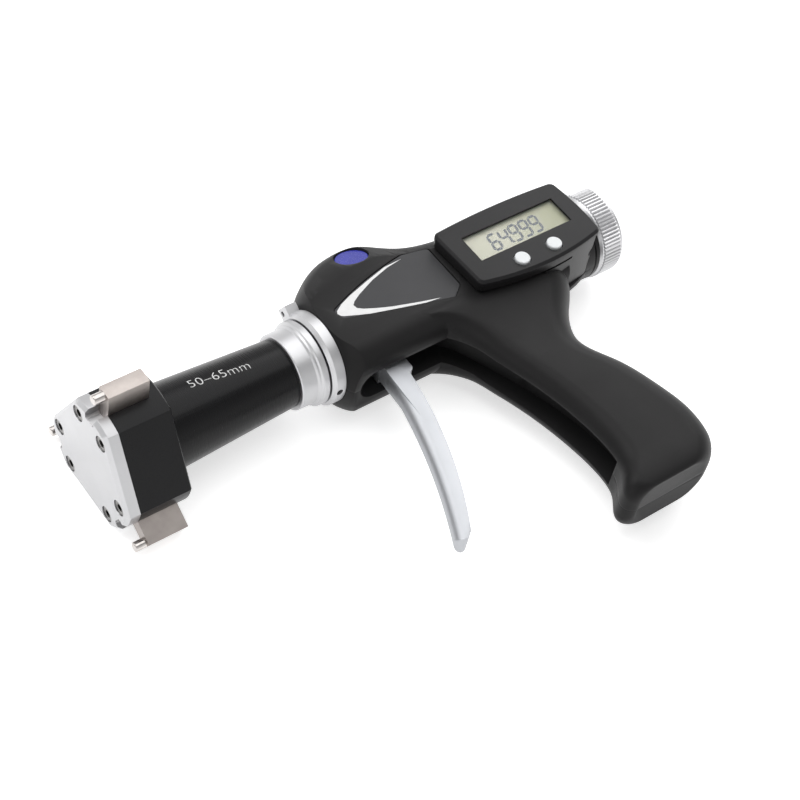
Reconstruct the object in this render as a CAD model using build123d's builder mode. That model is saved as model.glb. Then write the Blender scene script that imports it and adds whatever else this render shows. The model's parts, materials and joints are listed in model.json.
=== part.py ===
from build123d import *
from math import cos, radians, sin
import os

# Three-point bore micrometer with a pistol grip, lying on its far side with the display up
# +X runs along the gauge axis from the front face of the head, +Z out of the display, the grip hangs towards -Y

# Measuring head
bore_min = 50.0
bore_max = 65.0
head_r = 24.0
head_flat = 19.1
cap_t = 5.0
block_len = 19.0
anvil_t = 5.6
anvil_len = 14.6
pin_r = 1.75
pin_out = 4.0
screw_row = 17.4
screw_side = 6.9
tip_r = 1.9
cone_len = 13.4

# Neck and silver rings
neck_len = 49.2
neck_r_front = 15.0
neck_r_rear = 12.3
sleeve_len = 6.0
sleeve_r = 13.8
flange_len = 4.2
flange_r = 15.4
ring_gap = 0.4
ring_len = 4.8
ring_r = 16.8

# Pistol body
body_len = 112.2
body_half = 17.0
body_low = 19.6
side_round = 8.5
barrel_r = 13.0
barrel_bore = 10.0
rod_r = 3.0
slot_half = 6.5
tail_len = 18.0

# Trigger lever
pivot_dx = 27.7
pivot_y = 20.3
swing = 14.32
pivot_r = 2.5
drive_r = 2.0
lever_half = 4.0

# Display
display_len = 55.4
display_gap = 4.0
display_rise = 6.0
display_top = 11.2
display_low = 15.9
lcd_margin = 7.4
lcd_wide = 11.8
button_r = 2.8
button_travel = 0.8

# Rear knob
knob_len = 11.1
knob_r = 16.3
ridges = 72

# Running fit between sliding and turning pieces
fit = 0.05

# Sizes that follow from the ones above
anvil_travel = (bore_max - bore_min) / 2
reach = bore_max / 2
arm = 2 * pivot_y / (1 + cos(radians(swing)))
stroke = 2 * arm * sin(radians(swing))
slope = anvil_travel / stroke
x_neck = cap_t + block_len
x_sleeve = x_neck + neck_len
x_flange = x_sleeve + sleeve_len
x_ring = x_flange + flange_len + ring_gap
x_body = x_ring + ring_len + 0.2
x_rear = x_body + body_len
pivot_x = x_body + pivot_dx
drive_x = pivot_x - arm * sin(radians(swing))
drive_y = pivot_y - arm * cos(radians(swing))
anvil_x = cap_t + fit
anvil_end = anvil_x + anvil_len
cone_x = cap_t - 2.4
cone_r = tip_r + cone_len * slope
ramp_x = cone_x + stroke + 0.1
anvil_in = tip_r + (ramp_x - cone_x) * slope + 0.04
peg_row = anvil_in + 2.8
groove_end = head_r - 4.4
x_step = x_rear - tail_len
shell_end = body_len - tail_len
display_x = x_rear - display_gap - display_len
plate_z = body_half
display_z = plate_z + display_rise
lcd_len = display_len - 2 * lcd_margin
head_z = body_half - 9.0
angles = (90, 210, 330)
names = ("a", "b", "c")


def radial_plane(angle):
    """Plane through the gauge axis: its X runs along the gauge and its Y outwards at this angle."""
    return Plane(origin=(0, 0, 0), x_dir=(1, 0, 0), z_dir=(0, -sin(radians(angle)), cos(radians(angle))))


def radial_point(angle, radius, side=0.0):
    """Y and Z of a point at this radius, moved sideways."""
    c = cos(radians(angle))
    s = sin(radians(angle))
    return (radius * c - side * s, radius * s + side * c)


def finish(builder, name):
    """Name the piece and write its file."""
    builder.part.label = name
    export_step(builder.part, f"parts/{name}.step")


def head_outline(radius, flat):
    """Round head with three milled flats between the anvils."""
    Circle(radius)
    with PolarLocations(flat, 3, start_angle=30):
        Rectangle(radius, 3 * radius, align=(Align.MIN, Align.CENTER), mode=Mode.SUBTRACT)


def coil(centre, direction, across, length, radius, wire, turns):
    """Wire spring from its first end along a direction."""
    place = Plane(origin=centre, x_dir=across, z_dir=direction).location
    with BuildPart() as upright:
        with BuildLine() as path:
            Helix(pitch=length / turns, height=length, radius=radius)
        with BuildSketch(Plane(origin=path.line @ 0, x_dir=(1, 0, 0), z_dir=path.line % 0)):
            RegularPolygon(wire, 6)
        sweep(path=path.line, is_frenet=True)
    with BuildPart() as spring:
        add(upright.part.moved(place))
    return spring


os.makedirs("parts", exist_ok=True)

# Head block with three radial guide slots and a cavity for the cone
with BuildPart() as head_block:
    with BuildSketch(Plane.YZ.offset(cap_t)):
        head_outline(head_r, head_flat)
    extrude(amount=block_len)
    chamfer(head_block.faces().sort_by(Axis.X)[-1].edges(), 0.5)
    with BuildSketch(Plane.YZ.offset(cap_t)):
        Circle(cone_r + 0.5)
    extrude(amount=block_len, mode=Mode.SUBTRACT)
    with BuildSketch(Plane.YZ.offset(x_neck - 2.8)):
        Circle(cone_r + 1.7)
    extrude(amount=2.8, mode=Mode.SUBTRACT)
    with BuildSketch(Plane.YZ.offset(cap_t)):
        with PolarLocations(cone_r - 1, 3, start_angle=90):
            Rectangle(head_r, anvil_t + 2 * fit, align=(Align.MIN, Align.CENTER))
    extrude(amount=anvil_len + 2 * fit, mode=Mode.SUBTRACT)
    with BuildSketch(Plane.YZ.offset(cap_t)):
        with PolarLocations(0, 3, start_angle=90):
            with Locations((screw_row, screw_side), (screw_row, -screw_side)):
                Circle(1.25)
    extrude(amount=10, mode=Mode.SUBTRACT)
finish(head_block, "head_block")

# Front cap with bevelled edge, pin notches, screw pockets and spring grooves behind
with BuildPart() as head_cap:
    with BuildSketch(Plane.YZ):
        head_outline(head_r, head_flat)
    extrude(amount=cap_t)
    chamfer(head_cap.faces().sort_by(Axis.X)[0].edges(), 1.3)
    with BuildSketch(Plane.YZ):
        with PolarLocations(groove_end + 0.9, 3, start_angle=90):
            with Locations((6, 0)):
                RectangleRounded(12, pin_r * 2 + 1.5, 1.0)
    extrude(amount=cap_t, mode=Mode.SUBTRACT)
    with BuildSketch(Plane.YZ):
        with PolarLocations(0, 3, start_angle=90):
            with Locations((screw_row, screw_side), (screw_row, -screw_side)):
                Circle(1.6)
    extrude(amount=cap_t, mode=Mode.SUBTRACT)
    with BuildSketch(Plane.YZ):
        with PolarLocations(0, 3, start_angle=90):
            with Locations((screw_row, screw_side), (screw_row, -screw_side)):
                Circle(2.85)
    extrude(amount=3.2, mode=Mode.SUBTRACT)
    with BuildSketch(Plane.YZ.offset(cap_t - 2.9)):
        Circle(3.8)
    extrude(amount=2.9, mode=Mode.SUBTRACT)
    with BuildSketch(Plane.YZ.offset(cap_t - 2.5)):
        with PolarLocations(0, 3, start_angle=90):
            Rectangle(groove_end, 2.5, align=(Align.MIN, Align.CENTER))
    extrude(amount=2.5, mode=Mode.SUBTRACT)
finish(head_cap, "head_cap")

# Socket screws that hold the cap
with BuildPart() as cap_screws:
    with BuildSketch(Plane.YZ.offset(0.4)):
        with PolarLocations(0, 3, start_angle=90):
            with Locations((screw_row, screw_side), (screw_row, -screw_side)):
                Circle(2.7)
    extrude(amount=2.8)
    with BuildSketch(Plane.YZ.offset(3.2)):
        with PolarLocations(0, 3, start_angle=90):
            with Locations((screw_row, screw_side), (screw_row, -screw_side)):
                Circle(1.25)
    extrude(amount=10)
    with BuildSketch(Plane.YZ.offset(0.4)):
        with PolarLocations(0, 3, start_angle=90):
            with Locations((screw_row, screw_side), (screw_row, -screw_side)):
                RegularPolygon(1.45, 6)
    extrude(amount=1.8, mode=Mode.SUBTRACT)
finish(cap_screws, "cap_screws")

# Three anvils, each with its measuring pin, spring peg and return spring
pin_row = reach - pin_r
for angle, name in zip(angles, names):
    peg_y, peg_z = radial_point(angle, peg_row)
    pin_y, pin_z = radial_point(angle, pin_row)
    with BuildPart() as anvil:
        with BuildSketch(radial_plane(angle)):
            with BuildLine():
                Polyline(
                    (anvil_x, anvil_in),
                    (ramp_x, anvil_in),
                    (anvil_end, anvil_in + (anvil_end - ramp_x) * slope),
                    (anvil_end, reach + 1),
                    (anvil_x, reach + 1),
                    close=True,
                )
            make_face()
        extrude(amount=anvil_t / 2, both=True)
        with BuildSketch(Plane.YZ.offset(anvil_x)):
            Circle(reach - 0.1)
        extrude(amount=anvil_len, mode=Mode.INTERSECT)
        with BuildSketch(Plane.YZ.offset(anvil_x)):
            with Locations((pin_y, pin_z)):
                Circle(1.1)
        extrude(amount=6, mode=Mode.SUBTRACT)
        with BuildSketch(Plane.YZ.offset(anvil_x)):
            with Locations((peg_y, peg_z)):
                Circle(0.9)
        extrude(amount=4, mode=Mode.SUBTRACT)
    finish(anvil, f"anvil_{name}")
    with BuildPart() as pin:
        with BuildSketch(Plane.YZ.offset(anvil_x - pin_out)):
            with Locations((pin_y, pin_z)):
                Circle(pin_r)
        extrude(amount=pin_out)
        chamfer(pin.faces().sort_by(Axis.X)[0].edges(), 0.25)
        with BuildSketch(Plane.YZ.offset(anvil_x)):
            with Locations((pin_y, pin_z)):
                Circle(1.1)
        extrude(amount=6)
    finish(pin, f"pin_{name}")
    with BuildPart() as peg:
        with BuildSketch(Plane.YZ.offset(cap_t - 2.2)):
            with Locations((peg_y, peg_z)):
                Circle(0.9)
        extrude(amount=2.2 + fit + 4)
    finish(peg, f"peg_{name}")
    start_y, start_z = radial_point(angle, peg_row + 1.25)
    out_y, out_z = radial_point(angle, 1.0)
    spring = coil(
        (cap_t - 1.25, start_y, start_z),
        (0, out_y, out_z),
        (1, 0, 0),
        groove_end - peg_row - 1.6,
        0.8,
        0.22,
        5,
    )
    finish(spring, f"return_spring_{name}")

# Measuring cone that pushes the anvils out
with BuildPart() as cone:
    with BuildSketch(Plane.XY):
        with BuildLine():
            Polyline(
                (cone_x, 0),
                (cone_x, tip_r),
                (cone_x + cone_len, cone_r),
                (cone_x + cone_len + 1.5, cone_r),
                (cone_x + cone_len + 1.5, 0),
                close=True,
            )
        make_face()
    revolve(axis=Axis.X)
    with BuildSketch(Plane.YZ.offset(cone_x + cone_len - 4.5)):
        Circle(2.0)
    extrude(amount=6, mode=Mode.SUBTRACT)
finish(cone, "measuring_cone")

# Front rod from the cone back to the yoke
rod_start = cone_x + cone_len + 1.5
yoke_front = drive_x - 6.5
with BuildPart() as front_rod:
    with BuildSketch(Plane.XY):
        with BuildLine():
            Polyline(
                (rod_start - 6, 0),
                (rod_start - 6, 2.0),
                (rod_start, 2.0),
                (rod_start, rod_r),
                (yoke_front, rod_r),
                (yoke_front, 2.0),
                (yoke_front + 3, 2.0),
                (yoke_front + 3, 0),
                close=True,
            )
        make_face()
    revolve(axis=Axis.X)
finish(front_rod, "front_rod")

# Yoke that the lever's drive pin pulls back
yoke_rear = drive_x + 10.0
with BuildPart() as yoke:
    with BuildSketch(Plane.XY):
        with Locations(((yoke_front + yoke_rear) / 2, 0)):
            RectangleRounded(yoke_rear - yoke_front, 12, 1.0)
    extrude(amount=3.2, both=True)
    with BuildSketch(Plane.YZ.offset(yoke_rear - 0.01)):
        Circle(7.6)
    extrude(amount=2)
    with BuildSketch(Plane.XY):
        with Locations((drive_x, 0)):
            RectangleRounded(2 * drive_r + 0.16, 2 * drive_r + 1.4, 0.8)
    extrude(amount=4, both=True, mode=Mode.SUBTRACT)
    with BuildSketch(Plane.YZ.offset(yoke_front)):
        Circle(2.0)
    extrude(amount=3, mode=Mode.SUBTRACT)
    with BuildSketch(Plane.YZ.offset(yoke_rear - 4)):
        Circle(2.0)
    extrude(amount=7, mode=Mode.SUBTRACT)
finish(yoke, "yoke")

# Rear rod with a flat for the scale
rod_end = x_rear - 24
yoke_back = yoke_rear + 1.99
with BuildPart() as rear_rod:
    with BuildSketch(Plane.XY):
        with BuildLine():
            Polyline(
                (yoke_rear - 4, 0),
                (yoke_rear - 4, 2.0),
                (yoke_back, 2.0),
                (yoke_back, rod_r),
                (rod_end, rod_r),
                (rod_end, 0),
                close=True,
            )
        make_face()
    revolve(axis=Axis.X)
    with BuildSketch(Plane.XY.offset(1.6)):
        with Locations((rod_end - 10, 0)):
            Rectangle(20, 8)
    extrude(amount=3, mode=Mode.SUBTRACT)
finish(rear_rod, "rear_rod")

# Measuring scale on the rear rod
with BuildPart() as scale:
    with BuildSketch(Plane.XY.offset(1.6)):
        with Locations((rod_end - 10, 0)):
            Rectangle(19, 4.4)
    extrude(amount=1.2)
finish(scale, "encoder_scale")

# Tapered neck tube
pocket_r = cone_r + 0.5
pocket_end = cone_x + cone_len + 1.5 + stroke + 0.6
with BuildPart() as neck:
    with BuildSketch(Plane.XY):
        with BuildLine():
            Polyline(
                (x_neck - 2.8, pocket_r),
                (x_neck - 2.8, pocket_r + 1.2),
                (x_neck, pocket_r + 1.2),
                (x_neck, neck_r_front),
                (x_sleeve, neck_r_rear),
                (x_sleeve, 9.5),
                (x_sleeve + 8, 9.5),
                (x_sleeve + 8, 6.5),
                (pocket_end, 6.5),
                (pocket_end, pocket_r),
                close=True,
            )
        make_face()
    revolve(axis=Axis.X)
finish(neck, "neck")

# Guide bushes for the rods
bush_x = x_neck + 12
mid_bush_x = x_ring + 8.4
with BuildPart() as front_bush:
    with BuildSketch(Plane.YZ.offset(bush_x)):
        Circle(6.5)
        Circle(rod_r + fit, mode=Mode.SUBTRACT)
    extrude(amount=10)
finish(front_bush, "front_bush")

with BuildPart() as middle_bush:
    with BuildSketch(Plane.YZ.offset(mid_bush_x)):
        Circle(barrel_bore)
        Circle(rod_r + fit, mode=Mode.SUBTRACT)
    extrude(amount=3.5)
finish(middle_bush, "middle_bush")

# Silver nose sleeve with its stepped flange
x_gap = x_flange + flange_len
spigot_r = barrel_bore + 1.5
x_spigot = x_ring + ring_len + 3.2
with BuildPart() as nose_sleeve:
    with BuildSketch(Plane.XY):
        with BuildLine():
            Polyline(
                (x_sleeve, 9.5),
                (x_sleeve, sleeve_r - 0.4),
                (x_sleeve + 0.4, sleeve_r),
                (x_flange, sleeve_r + 0.1),
                (x_flange + 0.5, sleeve_r + 0.8),
                (x_flange + 1.2, sleeve_r + 0.9),
                (x_flange + 1.7, flange_r - 0.1),
                (x_flange + 2.3, flange_r),
                (x_gap - 0.4, flange_r),
                (x_gap, flange_r - 0.4),
                (x_gap, spigot_r),
                (x_spigot, spigot_r),
                (x_spigot, 8.0),
                (x_sleeve + 8, 8.0),
                (x_sleeve + 8, 9.5),
                close=True,
            )
        make_face()
    revolve(axis=Axis.X)
finish(nose_sleeve, "nose_sleeve")

# Clamp ring with its lug and set screw hole
lug_y, lug_z = radial_point(31, 17.0)
with BuildPart() as clamp_ring:
    with BuildSketch(Plane.YZ.offset(x_ring)):
        Circle(ring_r)
    extrude(amount=ring_len)
    chamfer(clamp_ring.edges().sort_by(Axis.X)[0], 1.2)
    with BuildSketch(Plane.YZ.offset(x_ring + 0.2)):
        with PolarLocations(14.0, 1, start_angle=31):
            Rectangle(5.8, 6.0, align=(Align.MIN, Align.CENTER))
    extrude(amount=ring_len - 0.4)
    with BuildSketch(Plane.YZ.offset(x_ring)):
        Circle(spigot_r)
        with Locations(radial_point(28, 17.8)):
            Circle(1.0)
    extrude(amount=ring_len, mode=Mode.SUBTRACT)
    with BuildSketch(Plane.XZ.offset(spigot_r)):
        with Locations((x_ring + ring_len / 2, 0)):
            Circle(1.25)
    extrude(amount=ring_r, mode=Mode.SUBTRACT)
finish(clamp_ring, "clamp_ring")

with BuildPart() as set_screw:
    with BuildSketch(Plane.XZ.offset(spigot_r)):
        with Locations((x_ring + ring_len / 2, 0)):
            Circle(1.25)
    extrude(amount=4.0)
    with BuildSketch(Plane.XZ.offset(spigot_r + 2.4)):
        with Locations((x_ring + ring_len / 2, 0)):
            RegularPolygon(0.65, 6)
    extrude(amount=2, mode=Mode.SUBTRACT)
finish(set_screw, "ring_set_screw")

# Inner barrel that carries the mechanism, windowed for the lever and the reader
reader_x = x_rear - 28
spring_seat_x = yoke_back + stroke + 12.4
with BuildPart() as barrel:
    with BuildSketch(Plane.YZ.offset(x_spigot)):
        Circle(barrel_r)
        Circle(barrel_bore, mode=Mode.SUBTRACT)
    extrude(amount=x_rear - x_spigot)
    with BuildSketch(Plane.XY):
        with Locations(((drive_x - 10 + drive_x + stroke + 10.4) / 2, 0)):
            RectangleRounded(20.4 + stroke, 4 * barrel_r, 2)
    extrude(amount=slot_half, both=True, mode=Mode.SUBTRACT)
    with BuildSketch(Plane.XY.offset(7)):
        with Locations((reader_x, 0)):
            RectangleRounded(6, 6, 0.5)
    extrude(amount=8, mode=Mode.SUBTRACT)
    with BuildSketch(Plane.YZ.offset(x_rear - 6)):
        with PolarLocations(11.5, 4, start_angle=45):
            Circle(0.8)
    extrude(amount=6, mode=Mode.SUBTRACT)
finish(barrel, "barrel")

with BuildPart() as rear_bush:
    with BuildSketch(Plane.YZ.offset(spring_seat_x)):
        Circle(barrel_bore)
        Circle(rod_r + fit, mode=Mode.SUBTRACT)
    extrude(amount=6)
finish(rear_bush, "rear_bush")

# Spring that pushes the yoke forward again
main_spring = coil(
    (yoke_back + 0.6, 0, 0),
    (1, 0, 0),
    (0, 1, 0),
    spring_seat_x - yoke_back - 1.2,
    5.2,
    0.5,
    6,
)
finish(main_spring, "main_spring")

# Trigger lever: boss, two cheeks beside the yoke, and the long curved handle
lever_top = -body_low + 1.6
with BuildPart() as lever:
    with BuildSketch(Plane.XY):
        with BuildLine():
            Polyline(
                (pivot_x - 13.6, lever_top - 3),
                (pivot_x - 13.0, lever_top + 9),
                (pivot_x - 4.6, lever_top + 9),
                (pivot_x - 4.5, lever_top - 3.2),
            )
            RadiusArc((pivot_x - 4.5, lever_top - 3.2), (pivot_x - 6.8, lever_top - 5.6), 2.2)
            ThreePointArc(
                (pivot_x - 6.8, lever_top - 5.6),
                (pivot_x - 13.9, lever_top - 36.5),
                (pivot_x - 29.5, lever_top - 70.2),
            )
            Line((pivot_x - 29.5, lever_top - 70.2), (pivot_x - 34.5, lever_top - 68.6))
            ThreePointArc(
                (pivot_x - 34.5, lever_top - 68.6),
                (pivot_x - 20.9, lever_top - 34.5),
                (pivot_x - 13.6, lever_top - 3),
            )
        make_face()
    extrude(amount=lever_half, both=True)
    fillet(
        [
            edge
            for edge in lever.edges()
            if abs(abs(edge.position_at(0.5).Z) - lever_half) < 0.01
            and edge.position_at(0.5).X < pivot_x - 17
            and edge.position_at(0.5).Y > lever_top - 60
        ],
        lever_half - 0.6,
    )
    with BuildSketch(Plane.XY):
        with Locations(Location((pivot_x - 31.2, lever_top - 66.9, 0), (0, 0, -17.8))):
            Rectangle(10, 6, align=(Align.CENTER, Align.MAX))
            Circle(2.62, mode=Mode.SUBTRACT)
    extrude(amount=lever_half, both=True, mode=Mode.SUBTRACT)
    with BuildSketch(Plane.XY):
        with Locations((pivot_x, pivot_y)):
            Circle(5.2)
    extrude(amount=slot_half - 0.5, both=True)
    with BuildSketch(Plane.XY):
        with BuildLine():
            Polyline(
                (pivot_x - 5.1, pivot_y + 0.8),
                (drive_x - 4.4, 0),
                (pivot_x - 13.2, lever_top + 6),
                (pivot_x - 13.4, lever_top + 1.5),
                (pivot_x - 4.6, lever_top + 1.5),
                (pivot_x - 4.3, lever_top + 6),
                (drive_x + 4.6, -1),
                (pivot_x + 5.0, pivot_y - 1.6),
                close=True,
            )
        make_face()
    extrude(amount=slot_half - 0.5, both=True)
    with BuildSketch(Plane.XY):
        with BuildLine():
            Polyline(
                (drive_x - 14, -9.0),
                (drive_x + 14, -9.0),
                (pivot_x + 10, pivot_y - 6.6),
                (pivot_x - 14, pivot_y - 6.6),
                close=True,
            )
        make_face()
    extrude(amount=lever_half - 0.4, both=True, mode=Mode.SUBTRACT)
    with BuildSketch(Plane.XY):
        with Locations((pivot_x, pivot_y)):
            Circle(pivot_r + fit)
        with Locations((drive_x, drive_y)):
            Circle(drive_r)
    extrude(amount=10, both=True, mode=Mode.SUBTRACT)
finish(lever, "trigger_lever")

with BuildPart() as drive_pin:
    with BuildSketch(Plane.XY.offset(-(slot_half - 0.6))):
        with Locations((drive_x, drive_y)):
            Circle(drive_r)
    extrude(amount=2 * (slot_half - 0.6))
finish(drive_pin, "drive_pin")

with BuildPart() as pivot_pin:
    with BuildSketch(Plane.XY.offset(-10)):
        with Locations((pivot_x, pivot_y)):
            Circle(pivot_r)
    extrude(amount=20)
finish(pivot_pin, "lever_pivot_pin")


# Shells: the barrel-shaped body and the grip are lofted, then hollowed for the moving pieces
def body_station(x, top):
    """Half section of the body across the gauge axis, with a sloping upper side."""
    slope_start = 9.6 + (top - 17.6) * 0.5
    slope_end = top - 5
    drop = (slope_end - slope_start) * 0.445
    corner = body_half - drop - 7.7
    with BuildSketch(Plane.YZ.offset(x)) as station:
        with BuildLine():
            Line((-body_low, 0), (-body_low, body_half - side_round))
            RadiusArc((-body_low, body_half - side_round), (-body_low + side_round, body_half), side_round)
            Line((-body_low + side_round, body_half), (slope_start, body_half))
            Line((slope_start, body_half), (slope_end, body_half - drop))
            RadiusArc((slope_end, body_half - drop), (top, corner), 8.43)
            Line((top, corner), (top, 0))
            Line((top, 0), (-body_low, 0))
        make_face()
    return station.sketch


def grip_station(y, front, back, half, r_back):
    """Half section of the grip at this height, softly rounded front and back."""
    r_front = min(slot_half, half - 2)
    with BuildSketch(Plane(origin=(0, y, 0), x_dir=(1, 0, 0), z_dir=(0, -1, 0))) as station:
        with BuildLine():
            Line((front, 0), (front, half - r_front))
            RadiusArc((front, half - r_front), (front + r_front, half), r_front)
            Line((front + r_front, half), (back - r_back, half))
            RadiusArc((back - r_back, half), (back, half - r_back), r_back)
            Line((back, half - r_back), (back, 0))
            Line((back, 0), (front, 0))
        make_face()
    return station.sketch


bulge = (
    (0, 17.2),
    (5.5, 21.9),
    (11.5, 26.0),
    (19.2, 29.4),
    (27, 30.6),
    (33.5, 29.7),
    (39.5, 24.6),
    (46.2, 19.7),
    (53.2, 17.3),
    (71.2, 16.8),
    (shell_end, 16.8),
)
grip = (
    (-9, 27.2, 93.0, 0.05, 13.0),
    (-15, 31.8, 93.8, 0.3, 13.0),
    (-20, 40.0, 94.2, 1.1, 13.0),
    (-24, 43.2, 92.2, 2.0, 13.0),
    (-30, 46.3, 87.0, 3.1, 12.5),
    (-36, 48.1, 82.8, 3.7, 12.0),
    (-44, 50.7, 80.4, 4.0, 11.6),
    (-58, 54.6, 86.7, 4.1, 11.4),
    (-73, 57.1, 92.2, 4.3, 11.2),
    (-86, 57.6, 94.8, 4.5, 11.0),
    (-95, 55.1, 94.0, 4.7, 10.6),
    (-101.5, 50.8, 91.0, 5.0, 10.0),
    (-104.6, 51.6, 87.8, 5.8, 9.2),
    (-106, 55.0, 83.0, 7.6, 7.6),
)
with BuildPart() as body_half_form:
    loft(sections=[body_station(x_body + dx, top) for dx, top in bulge])
with BuildPart() as grip_half_form:
    loft(sections=[grip_station(y, x_body + f, x_body + b, body_half - i, r) for y, f, b, i, r in grip])
with BuildPart() as front_dome:
    with BuildSketch(Plane.XY):
        with BuildLine():
            Polyline((x_body, 0), (x_body, ring_r))
            Spline(
                (x_body, ring_r),
                (x_body + 3.7, 21.8),
                (x_body + 12, 27.6),
                (x_body + 40, 38),
                tangents=((0.35, 1), (1, 0.1)),
            )
            Polyline((x_body + 40, 38), (x_body + 40, 120), (x_body + 120, 120), (x_body + 120, 0), (x_body, 0))
        make_face()
    revolve(axis=Axis.X)
with BuildPart() as half_form:
    add(body_half_form.part)
    add(grip_half_form.part)
    add(front_dome.part, mode=Mode.INTERSECT)

# Space for the lever: a round-ended slot below the barrel that runs on down the front of the grip
with BuildPart() as lever_space:
    with BuildSketch(Plane.XY):
        with BuildLine():
            Polyline(
                (x_body + 10.5, -body_low - 10),
                (x_body + 10.5, -13),
                (x_body + 12.7, -5),
                (pivot_x - 9.5, 8),
                (pivot_x - 6.6, pivot_y),
            )
            RadiusArc((pivot_x - 6.6, pivot_y), (pivot_x + 6.6, pivot_y), 6.6)
            Polyline((pivot_x + 6.6, pivot_y), (pivot_x + 11, 0), (pivot_x + 14.5, -12), (pivot_x + 19, -17))
            Spline(
                (pivot_x + 19, -17),
                (pivot_x + 30.2, -43),
                (pivot_x + 37.4, -70),
                (pivot_x + 38, -90.5),
            )
            Polyline(
                (pivot_x + 38, -90.5),
                (pivot_x + 10, -90.5),
                (x_body + 10.5, -body_low - 10),
            )
        make_face()
    extrude(amount=slot_half, both=True)
    with BuildSketch(Plane.XZ.offset(13)):
        with Locations((x_body + 10.5, 0)):
            Circle(slot_half)
    extrude(amount=10)
    with BuildSketch(Plane.YZ.offset(x_body - 2)):
        Circle(barrel_r + 0.02)
    extrude(amount=body_len + 4)
    with BuildSketch(Plane.XY.offset(-10.2)):
        with Locations((pivot_x, pivot_y)):
            Circle(pivot_r)
    extrude(amount=20.4)

screw_spots = [
    (x_body + 15.2, pivot_y - 0.7),
    (x_body + 42.2, 18.5),
    (x_body + 59.2, -26),
    (x_body + 74.2, -62),
    (x_body + 77.2, -96),
]

label_tip = x_body + 5.6
label_end = display_x - 1.0
label_mid = (label_tip + label_end) / 2


def label_outline(shrink):
    """Pointed label with bowed long edges and rounded corners, made smaller all round."""
    with BuildSketch() as outline:
        with BuildLine():
            ThreePointArc((label_tip, 2.9), (label_mid - 5.2, 9.2), (label_end - 10.3, 12.8))
            Line((label_end - 10.3, 12.8), (label_end, 10.8))
            Line((label_end, 10.8), (label_end, -8.6))
            Line((label_end, -8.6), (label_end - 5.0, -12.4))
            ThreePointArc((label_end - 5.0, -12.4), (label_mid - 1.8, -7.2), (label_tip + 1.4, -1.6))
            Line((label_tip + 1.4, -1.6), (label_tip, 2.9))
        make_face()
        fillet(outline.vertices(), 1.8)
        offset(amount=-shrink, kind=Kind.INTERSECTION)
    return outline.sketch


def display_outline(shrink):
    """Rounded display outline with bowed long edges, made smaller all round."""
    start = display_x + shrink
    end = display_x + display_len - shrink
    middle = display_x + display_len / 2
    top = display_top - shrink
    low = shrink - display_low
    with BuildSketch() as outline:
        with BuildLine():
            ThreePointArc((start, top), (middle, top + 1.2), (end - 1, top))
            ThreePointArc((end - 1, top), (end + 0.4, -2.5), (end, low))
            ThreePointArc((end, low), (middle, low - 3.3), (start + 1.2, low + 0.3))
            Line((start + 1.2, low + 0.3), (start, top))
        make_face()
        fillet(outline.vertices(), 2.7 - shrink / 2)
    return outline.sketch


port_spot = (display_x + display_len - 0.6, 0.3 - display_low, body_half - 5.4)
port_plane = Plane(origin=port_spot, x_dir=(0, 0, 1), z_dir=(0.66, -0.75, 0))
badge_plane = Plane(origin=(x_body + 27.6, 22.5, body_half - 3.1), x_dir=(1, 0, 0), z_dir=(0.0, 0.407, 0.9135))
badge_r = 6.0
case_z = plate_z + 1.0
bezel_z = display_z - 2.4
cell_x = display_x + 14.6
board_x = display_x + display_len / 2 + 0.3
board_y = (display_top - display_low) / 2 - 0.8
board_z = case_z + 0.1
inner_len = display_len - 9.4
inner_wide = display_top + display_low - 3.0
open_len = x_step - display_x - 7.4
open_x = (x_step + display_x) / 2 + 1.7
lcd_x = display_x + display_len / 2 + 0.5
lcd_y = -1.4
mode_spot = (lcd_x - 7.3, lcd_y - 12.2)
set_spot = (lcd_x + 7.2, lcd_y - 12.1)

def side_corner(over):
    """Corner above the root of the grip where the housing's side wall runs on forward, reaching over its ends."""
    lean = 13 / plate_z * over
    with BuildPart() as corner:
        with BuildSketch(Plane.XY.offset(-over)):
            add(display_outline(0.3))
        extrude(amount=plate_z + 2 * over)
        with BuildSketch(Plane.XZ.offset(13.8)):
            with BuildLine():
                Polyline(
                    (x_step + lean, -over),
                    (x_step - 13 - lean, plate_z + over),
                    (x_step + 1, plate_z + over),
                    (x_step + 1, -over),
                    close=True,
                )
            make_face()
        extrude(amount=body_low, mode=Mode.INTERSECT)
    return corner.part


# Near shell, under the display
with BuildPart() as near_shell:
    add(half_form.part)
    add(lever_space.part, mode=Mode.SUBTRACT)
    add(side_corner(0.5), mode=Mode.SUBTRACT)
    with BuildSketch(Plane.XY):
        with Locations((x_step, -body_low - 0.3)):
            Rectangle(20, 60, align=(Align.MIN, Align.MIN))
    extrude(amount=20, mode=Mode.SUBTRACT)
    with BuildSketch(Plane.XY):
        with Locations(*screw_spots):
            Circle(1.5)
    extrude(amount=7, mode=Mode.SUBTRACT)
    with BuildSketch(Plane.XY.offset(body_half - 0.9)):
        add(label_outline(0))
    extrude(amount=2, mode=Mode.SUBTRACT)
    with BuildSketch(badge_plane.offset(-1.5)):
        Circle(badge_r + 0.3)
    extrude(amount=6.5, mode=Mode.SUBTRACT)
    with BuildSketch(Plane.XY.offset(body_half - 3.6)):
        with Locations((cell_x, -3.5)):
            Circle(10.2)
        with Locations((reader_x, 0)):
            Rectangle(6, 6)
    extrude(amount=8, mode=Mode.SUBTRACT)
    with BuildSketch(Plane.XY.offset(barrel_r - 2)):
        with Locations((reader_x, 0)):
            Rectangle(6, 6)
    extrude(amount=8, mode=Mode.SUBTRACT)
finish(near_shell, "near_shell")

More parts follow.
